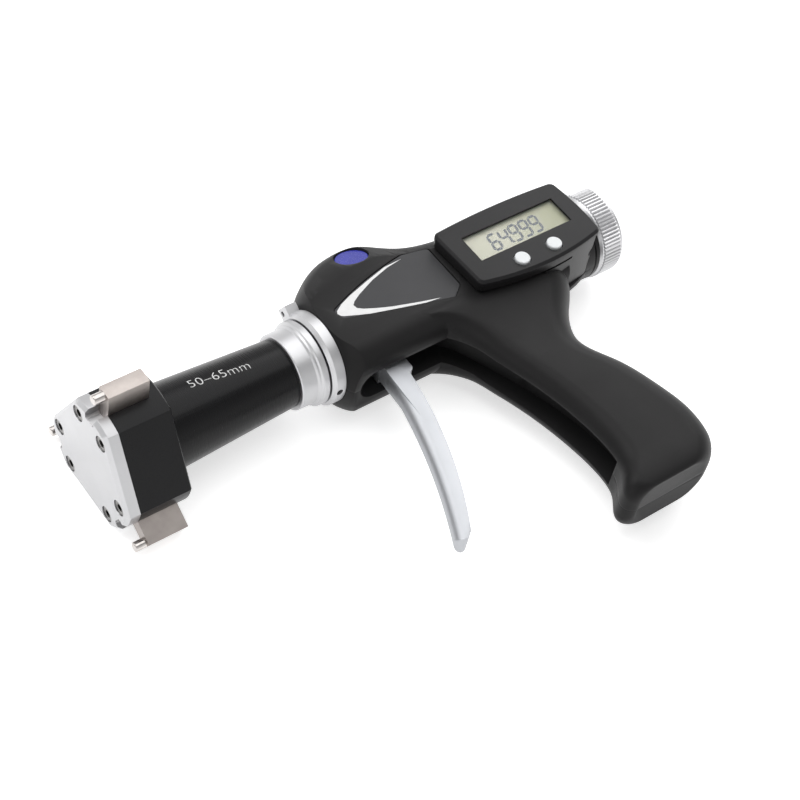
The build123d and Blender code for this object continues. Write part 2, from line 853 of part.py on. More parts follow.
# Far shell, with the tail that carries the rear housing
with BuildPart() as far_shell:
    add(mirror(half_form.part, about=Plane.XY))
    with BuildSketch(Plane.XY):
        with BuildLine():
            Polyline(
                (x_step - 3, -body_low),
                (x_step, -body_low),
                (x_step + 4, -18.6),
                (x_step + 8.3, -17.5),
                (x_step + 12.5, -16.0),
                (x_step + 14, -15.4),
                (x_step + 14, 15.4),
                (x_step + 11, 16.8),
                (x_step - 3, 16.8),
                close=True,
            )
        make_face()
    extrude(amount=-2.5)
    with BuildSketch(Plane.YZ.offset(x_step - 3)):
        Circle(15.4)
        Rectangle(40, 20, align=(Align.CENTER, Align.MIN), rotation=0, mode=Mode.SUBTRACT)
    extrude(amount=x_rear - 0.2 - x_step + 3)
    add(lever_space.part, mode=Mode.SUBTRACT)
    with BuildSketch(Plane.XY):
        with Locations(*screw_spots):
            Circle(1.6)
    extrude(amount=-9, mode=Mode.SUBTRACT)
    with BuildSketch(Plane.XY.offset(-head_z)):
        with Locations(*screw_spots):
            Circle(3.0)
    extrude(amount=-20, mode=Mode.SUBTRACT)
finish(far_shell, "far_shell")

with BuildPart() as shell_screws:
    with BuildSketch(Plane.XY.offset(-head_z)):
        with Locations(*screw_spots):
            Circle(2.8)
    extrude(amount=-2.4)
    with BuildSketch(Plane.XY.offset(-head_z)):
        with Locations(*screw_spots):
            Circle(1.5)
    extrude(amount=head_z + 7)
    with BuildSketch(Plane.XY.offset(-head_z - 2.4)):
        with Locations(*screw_spots):
            RegularPolygon(1.4, 6)
    extrude(amount=1.5, mode=Mode.SUBTRACT)
finish(shell_screws, "shell_screws")

with BuildPart() as label_plate:
    with BuildSketch(Plane.XY.offset(body_half - 0.9)):
        add(label_outline(0.25))
    extrude(amount=0.6)
finish(label_plate, "label_plate")

with BuildPart() as badge:
    with BuildSketch(badge_plane.offset(-1.5)):
        Circle(badge_r)
    extrude(amount=0.8)
    chamfer(badge.faces().sort_by(Axis.Z)[-1].edges(), 0.25)
finish(badge, "badge")

# Display case
with BuildPart() as display_gasket:
    with BuildSketch(Plane.XY.offset(plate_z)):
        add(display_outline(1.0))
        with Locations((x_step, -30)):
            Rectangle(40, 60, align=(Align.MIN, Align.MIN), mode=Mode.SUBTRACT)
        with Locations((open_x, board_y)):
            RectangleRounded(open_len, inner_wide - 3, 4, mode=Mode.SUBTRACT)
    extrude(amount=case_z - plate_z)
finish(display_gasket, "display_gasket")

with BuildPart() as rear_housing:
    with BuildSketch(Plane.XY.offset(case_z)):
        add(display_outline(0.3))
    extrude(amount=bezel_z - case_z)
    with BuildSketch(Plane.XY):
        add(display_outline(0.3))
        with Locations((x_step, -30)):
            Rectangle(100, 60, align=(Align.MAX, Align.MIN), mode=Mode.SUBTRACT)
    extrude(amount=case_z)
    with BuildSketch(Plane.YZ.offset(x_step)):
        with BuildLine():
            Polyline((0, 0), (16.6, 0), (16.4, 6), (10.9, bezel_z - 1), (0, bezel_z - 1), close=True)
        make_face()
    extrude(amount=display_x + display_len - 4 - x_step)
    with BuildSketch(Plane.YZ.offset(x_step)):
        Circle(15.4)
        Rectangle(40, 20, align=(Align.CENTER, Align.MAX), mode=Mode.SUBTRACT)
    extrude(amount=x_rear - 0.2 - x_step)
    add(side_corner(0))
    with BuildSketch(Plane.YZ.offset(x_step)):
        Circle(barrel_r + 0.02)
    extrude(amount=body_len, mode=Mode.SUBTRACT)
    with BuildSketch(Plane.XY.offset(case_z)):
        with Locations((board_x, board_y)):
            RectangleRounded(inner_len, inner_wide, 5)
    extrude(amount=display_z, mode=Mode.SUBTRACT)
    with BuildSketch(Plane.XY.offset(case_z - 2)):
        with Locations((open_x, board_y)):
            RectangleRounded(open_len, inner_wide - 3, 4)
    extrude(amount=3, mode=Mode.SUBTRACT)
    with BuildSketch(Plane.XY.offset(bezel_z - 1.0)):
        with Locations(mode_spot, set_spot):
            Circle(button_r + 1.0)
    extrude(amount=2, mode=Mode.SUBTRACT)
    with BuildSketch(port_plane):
        Circle(2.2)
    extrude(amount=4, both=True, mode=Mode.SUBTRACT)
finish(rear_housing, "rear_housing")

with BuildPart() as port_socket:
    with BuildSketch(port_plane.offset(-4)):
        Circle(2.2)
    extrude(amount=3)
    with BuildSketch(port_plane.offset(-2.5)):
        Circle(1.5)
    extrude(amount=2, mode=Mode.SUBTRACT)
finish(port_socket, "port_socket")

with BuildPart() as bezel:
    with BuildSketch(Plane.XY.offset(bezel_z)):
        add(display_outline(0))
    extrude(amount=display_z - bezel_z)
    chamfer(bezel.faces().sort_by(Axis.Z)[-1].edges(), 0.9)
    with BuildSketch(Plane.XY.offset(bezel_z)):
        with Locations((lcd_x, lcd_y)):
            Rectangle(lcd_len + 3, lcd_wide + 3.2)
    extrude(amount=1.4, mode=Mode.SUBTRACT)
    with BuildSketch(Plane.XY.offset(bezel_z)):
        with Locations((lcd_x, lcd_y)):
            Rectangle(lcd_len, lcd_wide)
        with Locations(mode_spot, set_spot):
            Circle(button_r + 0.35)
    extrude(amount=5, mode=Mode.SUBTRACT)
    with BuildSketch(Plane.XY.offset(bezel_z)):
        with Locations(mode_spot, set_spot):
            Circle(button_r + 1.0)
    extrude(amount=1.1, mode=Mode.SUBTRACT)
finish(bezel, "display_bezel")

with BuildPart() as window:
    with BuildSketch(Plane.XY.offset(bezel_z + 0.6)):
        with Locations((lcd_x, lcd_y)):
            Rectangle(lcd_len + 2.8, lcd_wide + 3.0)
    extrude(amount=0.8)
finish(window, "display_window")

with BuildPart() as lcd:
    with BuildSketch(Plane.XY.offset(bezel_z - 1.0)):
        with Locations((lcd_x, lcd_y)):
            Rectangle(lcd_len + 2.4, lcd_wide + 2.6)
    extrude(amount=1.5)
finish(lcd, "lcd_panel")

with BuildPart() as board:
    with BuildSketch(Plane.XY.offset(board_z)):
        with Locations((board_x, board_y)):
            RectangleRounded(inner_len - 0.8, inner_wide - 0.8, 4.6)
    extrude(amount=1.0)
finish(board, "circuit_board")

with BuildPart() as switches:
    with BuildSketch(Plane.XY.offset(board_z + 1.0)):
        with Locations(mode_spot, set_spot):
            Rectangle(4.0, 2.4)
    extrude(amount=0.5)
finish(switches, "button_switches")

for spot, name in ((mode_spot, "mode_button"), (set_spot, "set_button")):
    with BuildPart() as button:
        with BuildSketch(Plane.XY.offset(board_z + 1.6 + button_travel)):
            with Locations(spot):
                Circle(1.1)
        extrude(amount=1.0)
        with BuildSketch(Plane.XY.offset(bezel_z + 0.3)):
            with Locations(spot):
                Circle(button_r + 0.6)
        extrude(amount=0.6)
        with BuildSketch(Plane.XY.offset(bezel_z + 0.4)):
            with Locations(spot):
                Circle(button_r)
        extrude(amount=display_z + 0.9 - bezel_z - 0.4)
        fillet(button.faces().sort_by(Axis.Z)[-1].edges(), 0.5)
    finish(button, name)

with BuildPart() as cell:
    with BuildSketch(Plane.XY.offset(body_half - 3.5)):
        with Locations((cell_x, -3.5)):
            Circle(10)
    extrude(amount=3.2)
finish(cell, "battery")

with BuildPart() as clip:
    with BuildSketch(Plane.XY.offset(body_half - 0.3)):
        with Locations((cell_x, -3.5)):
            Rectangle(17, 4)
    extrude(amount=0.3)
    with BuildSketch(Plane.XY.offset(body_half)):
        with Locations((cell_x - 8, -3.5), (cell_x + 8, -3.5)):
            Rectangle(1, 4)
    extrude(amount=board_z - body_half)
finish(clip, "battery_clip")

with BuildPart() as reader:
    with BuildSketch(Plane.XY.offset(3.2)):
        with Locations((reader_x, 0)):
            Rectangle(5.6, 8)
    extrude(amount=5)
    with BuildSketch(Plane.XY.offset(8)):
        with Locations((reader_x, 0)):
            Rectangle(5, 5)
    extrude(amount=board_z - 8)
finish(reader, "reader_head")

# Rear flange and knob
flange_in = x_rear - 8
with BuildPart() as rear_flange:
    with BuildSketch(Plane.YZ.offset(x_rear)):
        Circle(knob_r + 0.7)
    extrude(amount=2)
    chamfer(rear_flange.edges().sort_by(Axis.X)[0], 0.4)
    with BuildSketch(Plane.YZ.offset(flange_in)):
        Circle(barrel_bore)
    extrude(amount=8.5)
    with BuildSketch(Plane.YZ.offset(flange_in - 1)):
        Circle(4 + fit)
    extrude(amount=12, mode=Mode.SUBTRACT)
    with BuildSketch(Plane.YZ.offset(x_rear - 1)):
        with PolarLocations(11.5, 4, start_angle=45):
            Circle(0.8)
    extrude(amount=3, mode=Mode.SUBTRACT)
    with BuildSketch(Plane.YZ.offset(x_rear + 0.8)):
        with PolarLocations(11.5, 4, start_angle=45):
            Circle(1.5)
    extrude(amount=3, mode=Mode.SUBTRACT)
finish(rear_flange, "rear_flange")

with BuildPart() as flange_screws:
    with BuildSketch(Plane.YZ.offset(x_rear - 6)):
        with PolarLocations(11.5, 4, start_angle=45):
            Circle(0.8)
    extrude(amount=6.8)
    with BuildSketch(Plane.YZ.offset(x_rear + 0.8)):
        with PolarLocations(11.5, 4, start_angle=45):
            Circle(1.4)
    extrude(amount=1.0)
finish(flange_screws, "flange_screws")

x_knob = x_rear + 2.3
x_end = x_knob + knob_len
with BuildPart() as knob:
    with BuildSketch(Plane.XY):
        with BuildLine():
            Polyline(
                (x_knob, 4),
                (x_knob, knob_r - 1.2),
                (x_knob + 0.8, knob_r - 0.5),
                (x_knob + 1.6, knob_r - 0.5),
                (x_knob + 1.6, knob_r),
                (x_end - 1.8, knob_r),
                (x_end - 1.8, knob_r - 0.5),
                (x_end - 0.9, knob_r - 0.5),
                (x_end, knob_r - 1.4),
                (x_end, 4),
                close=True,
            )
        make_face()
    revolve(axis=Axis.X)
    with BuildSketch(Plane.YZ.offset(x_knob + 1.6)):
        with PolarLocations(knob_r, ridges):
            Rectangle(0.75, 0.75, rotation=45)
    extrude(amount=knob_len - 3.4, mode=Mode.SUBTRACT)
    with BuildSketch(Plane.YZ.offset(x_end - 0.8)):
        Circle(12.0)
    extrude(amount=2, mode=Mode.SUBTRACT)
finish(knob, "rear_knob")

with BuildPart() as stem:
    with BuildSketch(Plane.YZ.offset(flange_in - 2.4)):
        Circle(4)
    extrude(amount=x_end - 0.8 - flange_in + 2.4)
    with BuildSketch(Plane.YZ.offset(flange_in - 1.4)):
        Circle(4)
        Circle(3.2, mode=Mode.SUBTRACT)
    extrude(amount=0.9, mode=Mode.SUBTRACT)
finish(stem, "knob_stem")

with BuildPart() as knob_clip:
    with BuildSketch(Plane.YZ.offset(flange_in - 1.3)):
        Circle(5.6)
        Circle(3.2, mode=Mode.SUBTRACT)
        with Locations((0, -5)):
            Rectangle(2.4, 6, mode=Mode.SUBTRACT)
    extrude(amount=0.7)
finish(knob_clip, "knob_clip")
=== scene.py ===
"""Looks of a three-point bore micrometer with a pistol grip: its finishes, dressed pieces, light and camera."""

from __future__ import annotations

import json
import logging
import math
from dataclasses import dataclass, field
from enum import Enum
from typing import Iterable, Sequence

import bpy
from mathutils import Matrix, Vector

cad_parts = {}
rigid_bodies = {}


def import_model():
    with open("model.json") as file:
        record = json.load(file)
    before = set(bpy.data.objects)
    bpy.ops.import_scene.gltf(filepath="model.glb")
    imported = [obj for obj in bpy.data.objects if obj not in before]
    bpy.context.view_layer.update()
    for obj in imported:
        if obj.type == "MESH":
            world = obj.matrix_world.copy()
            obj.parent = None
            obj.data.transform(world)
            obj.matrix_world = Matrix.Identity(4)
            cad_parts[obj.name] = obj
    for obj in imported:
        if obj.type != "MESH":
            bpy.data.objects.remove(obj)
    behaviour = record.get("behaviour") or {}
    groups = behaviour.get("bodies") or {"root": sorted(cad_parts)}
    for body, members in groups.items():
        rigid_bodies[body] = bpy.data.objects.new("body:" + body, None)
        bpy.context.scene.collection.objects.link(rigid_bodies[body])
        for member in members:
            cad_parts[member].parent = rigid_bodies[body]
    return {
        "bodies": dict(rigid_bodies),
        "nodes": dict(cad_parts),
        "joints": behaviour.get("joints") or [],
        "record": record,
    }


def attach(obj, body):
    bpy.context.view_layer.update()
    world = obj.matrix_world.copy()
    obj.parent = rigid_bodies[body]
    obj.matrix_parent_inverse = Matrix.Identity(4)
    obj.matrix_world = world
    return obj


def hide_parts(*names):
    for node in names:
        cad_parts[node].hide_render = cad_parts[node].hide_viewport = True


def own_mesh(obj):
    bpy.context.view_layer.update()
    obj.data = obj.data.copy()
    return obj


LOG = logging.getLogger("bore_micrometer")
MM = 0.001
Point = tuple[float, float]
Colour = tuple[float, float, float]


class Grain(Enum):
    """The fine surface pattern of a finish."""

    MOULDED = "moulded"
    SOFT_TOUCH = "soft_touch"
    BLASTED = "blasted"
    BRUSHED_X = "brushed_x"
    BRUSHED_Y = "brushed_y"
    TURNED = "turned"
    GROUND = "ground"
    PRINTED = "printed"


class Look(Enum):
    """Named finishes that the pieces choose from."""

    SATIN_ALUMINIUM = "satin_aluminium"
    TURNED_ALUMINIUM = "turned_aluminium"
    BLASTED_ALUMINIUM = "blasted_aluminium"
    KNURLED_ALUMINIUM = "knurled_aluminium"
    BLACK_ANODISED = "black_anodised"
    BLACK_TURNED = "black_turned"
    GROUND_STEEL = "ground_steel"
    BRIGHT_PIN = "bright_pin"
    DARK_SCREW = "dark_screw"
    BLACK_SCREW = "black_screw"
    HARD_STEEL = "hard_steel"
    SPRING_WIRE = "spring_wire"
    BRONZE = "bronze"
    SOFT_SHELL = "soft_shell"
    LABEL = "label"
    BADGE = "badge"
    RUBBER = "rubber"
    CASE = "case"
    BEZEL = "bezel"
    WINDOW = "window"
    LCD = "lcd"
    SEGMENT = "segment"
    BUTTON = "button"
    BOARD = "board"
    NICKEL = "nickel"
    SENSOR = "sensor"
    WHITE_PRINT = "white_print"
    FLOOR = "floor"


class Graph:
    """A material's node tree, built node by node from Object coordinates in millimetres."""

    def __init__(self, name: str) -> None:
        """Starts an empty material with a shader and its output."""
        self.material = bpy.data.materials.new(name)
        self.material.use_nodes = True
        self.nodes = self.material.node_tree.nodes
        self.nodes.clear()
        self.shader = self.nodes.new("ShaderNodeBsdfPrincipled")
        output = self.nodes.new("ShaderNodeOutputMaterial")
        self.join(self.shader.outputs[0], output.inputs[0])
        self.place = self.nodes.new("ShaderNodeTexCoord").outputs["Object"]

    def join(self, source: bpy.types.NodeSocket, target: bpy.types.NodeSocket) -> None:
        """Links two sockets."""
        self.material.node_tree.links.new(source, target)

    def stretched(self, scale: Sequence[float]) -> bpy.types.NodeSocket:
        """The place on the piece in millimetres, stretched along each axis.

        Args:
            scale: Factor along X, Y and Z; a small one draws the pattern out along that axis.

        Returns:
            The vector socket.
        """
        node = self.nodes.new("ShaderNodeMapping")
        self.join(self.place, node.inputs["Vector"])
        node.inputs["Scale"].default_value = [1000 * s for s in scale]
        return node.outputs[0]

    def turned(self) -> bpy.types.NodeSocket:
        """A vector of the place along the gauge axis and the distance from it, in millimetres."""
        split = self.nodes.new("ShaderNodeSeparateXYZ")
        self.join(self.stretched((1, 1, 1)), split.inputs[0])
        flat = self.nodes.new("ShaderNodeCombineXYZ")
        self.join(split.outputs["Y"], flat.inputs["Y"])
        self.join(split.outputs["Z"], flat.inputs["Z"])
        length = self.nodes.new("ShaderNodeVectorMath")
        length.operation = "LENGTH"
        self.join(flat.outputs[0], length.inputs[0])
        both = self.nodes.new("ShaderNodeCombineXYZ")
        self.join(split.outputs["X"], both.inputs["X"])
        self.join(length.outputs["Value"], both.inputs["Y"])
        return both.outputs[0]

    def noise(self, vector: bpy.types.NodeSocket, size: float, detail: float = 3.0) -> bpy.types.NodeSocket:
        """Noise whose features are about a size in millimetres.

        Args:
            vector: Where the noise is read.
            size: Size of its features in millimetres.
            detail: How many finer layers it has.

        Returns:
            The value socket, from 0 to 1.
        """
        node = self.nodes.new("ShaderNodeTexNoise")
        self.join(vector, node.inputs["Vector"])
        node.inputs["Scale"].default_value = 1 / size
        node.inputs["Detail"].default_value = detail
        return node.outputs[0]

    def between(self, value: bpy.types.NodeSocket, low: float, high: float) -> bpy.types.NodeSocket:
        """A value's middle range spread from low to high."""
        node = self.nodes.new("ShaderNodeMapRange")
        self.join(value, node.inputs["Value"])
        node.inputs["From Min"].default_value = 0.3
        node.inputs["From Max"].default_value = 0.7
        node.inputs["To Min"].default_value = low
        node.inputs["To Max"].default_value = high
        return node.outputs[0]

    def tint(
        self, value: bpy.types.NodeSocket, low: Colour, high: Colour, ends: Point = (0.35, 0.65),
    ) -> bpy.types.NodeSocket:
        """A colour that runs from low to high as a value rises.

        Args:
            value: What drives the colour.
            low: Colour at the lower end.
            high: Colour at the upper end.
            ends: The two values where the colours stand.

        Returns:
            The colour socket.
        """
        node = self.nodes.new("ShaderNodeValToRGB")
        self.join(value, node.inputs[0])
        for stop, place, colour in zip(node.color_ramp.elements, ends, (low, high)):
            stop.position = place
            stop.color = (*colour, 1)
        return node.outputs[0]

    def relief(self, height: bpy.types.NodeSocket, depth: float, strength: float = 1.0) -> None:
        """Gives the surface a fine relief.

        Args:
            height: Height from 0 to 1.
            depth: Depth of the relief in millimetres.
            strength: Share of the relief that shows.
        """
        node = self.nodes.new("ShaderNodeBump")
        self.join(height, node.inputs["Height"])
        node.inputs["Distance"].default_value = depth * MM
        node.inputs["Strength"].default_value = strength
        self.join(node.outputs[0], self.shader.inputs["Normal"])


@dataclass(frozen=True)
class Finish:
    """A finish with its colour range, gloss and fine grain."""

    colour: Colour
    second: Colour
    roughness: float
    grain: Grain
    grain_size: float = 0.3
    depth: float = 0.01
    metallic: float = 0.0
    spread: float = 0.06
    patch: float = 6.0
    coat: float = 0.0
    specular: float = 0.5

    def pattern(self, graph: Graph) -> bpy.types.NodeSocket:
        """The fine grain as a value from 0 to 1."""
        if self.grain is Grain.TURNED:
            return graph.noise(graph.turned(), self.grain_size, 2.0)
        stretch = {
            Grain.BRUSHED_X: (0.03, 1, 1),
            Grain.BRUSHED_Y: (1, 0.03, 1),
            Grain.GROUND: (1, 0.05, 0.05),
        }.get(self.grain, (1, 1, 1))
        detail = 5.0 if self.grain in (Grain.SOFT_TOUCH, Grain.BLASTED) else 2.5
        return graph.noise(graph.stretched(stretch), self.grain_size, detail)

    def material(self, name: str) -> bpy.types.Material:
        """Builds the finish as a material.

        Args:
            name: Name of the material.

        Returns:
            The new material.
        """
        graph = Graph(name)
        grain = self.pattern(graph)
        patches = graph.noise(graph.stretched((1, 1, 1)), self.patch, 4.0)
        colour = graph.tint(patches, self.colour, self.second)
        graph.join(colour, graph.shader.inputs["Base Color"])
        low, high = self.roughness - self.spread, self.roughness + self.spread
        graph.join(graph.between(grain, low, high), graph.shader.inputs["Roughness"])
        graph.shader.inputs["Metallic"].default_value = self.metallic
        graph.shader.inputs["Specular IOR Level"].default_value = self.specular
        graph.shader.inputs["Coat Weight"].default_value = self.coat
        graph.shader.inputs["Coat Roughness"].default_value = 0.12
        graph.relief(grain, self.depth)
        return graph.material


@dataclass(frozen=True)
class LcdGlass:
    """Reflective liquid crystal: olive grey, with painted shade that darkens it steadily towards its right end.
    """

    # Olive of the panel's unshaded left end, and the darker olive of the painted shade at its right end.
    light: Colour = (0.56, 0.55, 0.43)
    dark: Colour = (0.33, 0.335, 0.18)

    def material(self, name: str) -> bpy.types.Material:
        """Builds the panel's material."""
        graph = Graph(name)
        split = graph.nodes.new("ShaderNodeSeparateXYZ")
        graph.join(graph.stretched((1, 1, 1)), split.inputs[0])
        # Painted shade: the panel's colour darkens from x 150 mm to x 191 mm, towards its right end.
        shade_ramp = graph.nodes.new("ShaderNodeMapRange")
        graph.join(split.outputs["X"], shade_ramp.inputs["Value"])
        shade_ramp.inputs["From Min"].default_value = 150
        shade_ramp.inputs["From Max"].default_value = 191
        mottle = graph.noise(graph.stretched((1, 1, 1)), 2.5, 3.0)
        mix = graph.nodes.new("ShaderNodeMath")
        mix.operation = "MULTIPLY_ADD"
        graph.join(graph.between(mottle, -0.08, 0.08), mix.inputs[0])
        mix.inputs[1].default_value = 1.0
        graph.join(shade_ramp.outputs[0], mix.inputs[2])
        graph.join(
            graph.tint(mix.outputs[0], self.light, self.dark, (0.35, 1.0)), graph.shader.inputs["Base Color"],
        )
        fine = graph.noise(graph.stretched((1, 1, 1)), 0.15, 2.0)
        graph.join(graph.between(fine, 0.40, 0.52), graph.shader.inputs["Roughness"])
        graph.relief(fine, 0.002)
        return graph.material


@dataclass(frozen=True)
class ClearPane:
    """Thin clear cover of the display."""

    opacity: float = 0.10

    def material(self, name: str) -> bpy.types.Material:
        """Builds the pane's material."""
        graph = Graph(name)
        haze = graph.noise(graph.stretched((1, 1, 1)), 4.0, 3.0)
        graph.join(
            graph.tint(haze, (0.72, 0.75, 0.72), (0.80, 0.82, 0.80)), graph.shader.inputs["Base Color"],
        )
        graph.join(graph.between(haze, 0.04, 0.09), graph.shader.inputs["Roughness"])
        graph.shader.inputs["Alpha"].default_value = self.opacity
        graph.relief(haze, 0.002)
        return graph.material


@dataclass(frozen=True)
class SolderMask:
    """Green circuit board with copper tracks under its mask."""

    def material(self, name: str) -> bpy.types.Material:
        """Builds the board's material."""
        graph = Graph(name)
        tracks = graph.nodes.new("ShaderNodeTexBrick")
        graph.join(graph.stretched((1, 1, 1)), tracks.inputs["Vector"])
        tracks.inputs["Scale"].default_value = 0.45
        tracks.inputs["Mortar Size"].default_value = 0.035
        tracks.inputs["Color1"].default_value = (0.02, 0.13, 0.06, 1)
        tracks.inputs["Color2"].default_value = (0.02, 0.10, 0.05, 1)
        tracks.inputs["Mortar"].default_value = (0.10, 0.24, 0.08, 1)
        graph.join(tracks.outputs["Color"], graph.shader.inputs["Base Color"])
        fine = graph.noise(graph.stretched((1, 1, 1)), 0.4, 3.0)
        graph.join(graph.between(fine, 0.25, 0.4), graph.shader.inputs["Roughness"])
        graph.relief(tracks.outputs["Fac"], 0.03)
        return graph.material


FINISHES: dict[Look, Finish | LcdGlass | ClearPane | SolderMask] = {
    Look.SATIN_ALUMINIUM: Finish(
        (0.52, 0.52, 0.53), (0.55, 0.55, 0.56), 0.42, Grain.BLASTED, 0.12, 0.0015, 1.0, 0.03, 16.0,
    ),
    Look.TURNED_ALUMINIUM: Finish(
        (0.52, 0.52, 0.53), (0.56, 0.56, 0.57), 0.42, Grain.TURNED, 0.3, 0.0012, 1.0, 0.03, 12.0,
    ),
    Look.BLASTED_ALUMINIUM: Finish(
        (0.43, 0.44, 0.46), (0.46, 0.47, 0.49), 0.50, Grain.BLASTED, 0.15, 0.002, 1.0, 0.03, 18.0,
    ),
    Look.KNURLED_ALUMINIUM: Finish(
        (0.56, 0.56, 0.57), (0.60, 0.60, 0.61), 0.36, Grain.BLASTED, 0.2, 0.002, 1.0, 0.04, 8.0,
    ),
    Look.BLACK_ANODISED: Finish(
        (0.0060, 0.0060, 0.0070), (0.0075, 0.0075, 0.0085), 0.30, Grain.BLASTED, 0.15, 0.0010, 0.0, 0.04,
        12.0, specular=0.22,
    ),
    Look.BLACK_TURNED: Finish(
        (0.0040, 0.0040, 0.0045), (0.0050, 0.0050, 0.0055), 0.27, Grain.TURNED, 0.35, 0.0003, 0.0, 0.03, 14.0,
        specular=0.20,
    ),
    Look.GROUND_STEEL: Finish(
        (0.39, 0.35, 0.33), (0.45, 0.41, 0.385), 0.36, Grain.GROUND, 0.14, 0.002, 1.0, 0.05, 5.0,
    ),
    Look.BRIGHT_PIN: Finish(
        (0.52, 0.49, 0.47), (0.60, 0.57, 0.55), 0.18, Grain.GROUND, 0.08, 0.001, 1.0, 0.04, 2.0,
    ),
    Look.DARK_SCREW: Finish(
        (0.16, 0.155, 0.15), (0.22, 0.215, 0.21), 0.30, Grain.BLASTED, 0.12, 0.003, 1.0, 0.06, 1.5,
    ),
    Look.BLACK_SCREW: Finish(
        (0.006, 0.006, 0.0065), (0.009, 0.009, 0.0095), 0.32, Grain.BLASTED, 0.12, 0.003, 0.0, 0.06, 1.5,
        specular=0.3,
    ),
    Look.HARD_STEEL: Finish(
        (0.46, 0.46, 0.47), (0.54, 0.54, 0.55), 0.22, Grain.TURNED, 0.1, 0.001, 1.0, 0.06, 5.0,
    ),
    Look.SPRING_WIRE: Finish(
        (0.36, 0.36, 0.37), (0.46, 0.46, 0.47), 0.28, Grain.BRUSHED_X, 0.1, 0.002, 1.0, 0.06, 2.0,
    ),
    Look.BRONZE: Finish(
        (0.46, 0.29, 0.12), (0.56, 0.37, 0.17), 0.42, Grain.BLASTED, 0.15, 0.01, 1.0, 0.08, 1.2,
    ),
    Look.SOFT_SHELL: Finish(
        (0.0165, 0.0160, 0.0165), (0.0190, 0.0185, 0.0190), 0.44, Grain.SOFT_TOUCH, 0.22, 0.005, 0.0, 0.04,
        16.0, specular=0.13,
    ),
    Look.LABEL: Finish(
        (0.055, 0.055, 0.058), (0.062, 0.062, 0.065), 0.44, Grain.PRINTED, 0.3, 0.002, 0.0, 0.03, 20.0,
        specular=0.15,
    ),
    Look.BADGE: Finish(
        (0.035, 0.040, 0.32), (0.045, 0.05, 0.38), 0.25, Grain.PRINTED, 0.5, 0.001, 0.0, 0.04, 3.0, coat=0.2,
        specular=0.2,
    ),
    Look.RUBBER: Finish(
        (0.004, 0.004, 0.004), (0.006, 0.006, 0.006), 0.62, Grain.MOULDED, 0.2, 0.006, 0.0, 0.05, 4.0,
        specular=0.15,
    ),
    Look.CASE: Finish(
        (0.013, 0.0125, 0.013), (0.016, 0.0155, 0.016), 0.32, Grain.MOULDED, 0.35, 0.002, 0.0, 0.04, 14.0,
        specular=0.20,
    ),
    Look.BEZEL: Finish(
        (0.0170, 0.0165, 0.0175), (0.0195, 0.019, 0.020), 0.36, Grain.MOULDED, 0.3, 0.0015, 0.0, 0.03, 16.0,
        specular=0.16,
    ),
    Look.WINDOW: ClearPane(),
    Look.LCD: LcdGlass(),
    Look.SEGMENT: Finish(
        (0.040, 0.052, 0.080), (0.060, 0.074, 0.10), 0.45, Grain.PRINTED, 0.4, 0.001, 0.0, 0.04, 1.5,
    ),
    Look.BUTTON: Finish(
        (0.70, 0.72, 0.73), (0.74, 0.76, 0.77), 0.34, Grain.MOULDED, 0.3, 0.002, 0.0, 0.04, 3.0, coat=0.1,
    ),
    Look.BOARD: SolderMask(),
    Look.NICKEL: Finish(
        (0.58, 0.57, 0.54), (0.66, 0.65, 0.62), 0.22, Grain.BRUSHED_X, 0.2, 0.003, 1.0, 0.06, 3.0,
    ),
    Look.SENSOR: Finish(
        (0.006, 0.006, 0.0065), (0.010, 0.010, 0.0105), 0.45, Grain.MOULDED, 0.2, 0.004, 0.0, 0.06, 2.0,
        specular=0.2,
    ),
    Look.WHITE_PRINT: Finish(
        (0.76, 0.76, 0.76), (0.80, 0.80, 0.80), 0.50, Grain.PRINTED, 0.2, 0.001, 0.0, 0.05, 1.5,
    ),
    Look.FLOOR: Finish(
        (0.86, 0.86, 0.86), (0.88, 0.88, 0.88), 0.85, Grain.PRINTED, 2.0, 0.004, 0.0, 0.04, 60.0,
        specular=0.1,
    ),
}


class Paint:
    """Keeps one material for each look."""

    made: dict[Look, bpy.types.Material] = {}

    @classmethod
    def of(cls, look: Look) -> bpy.types.Material:
        """The material of a look, made when it is first asked for."""
        if look not in cls.made:
            cls.made[look] = FINISHES[look].material(look.value)
        return cls.made[look]


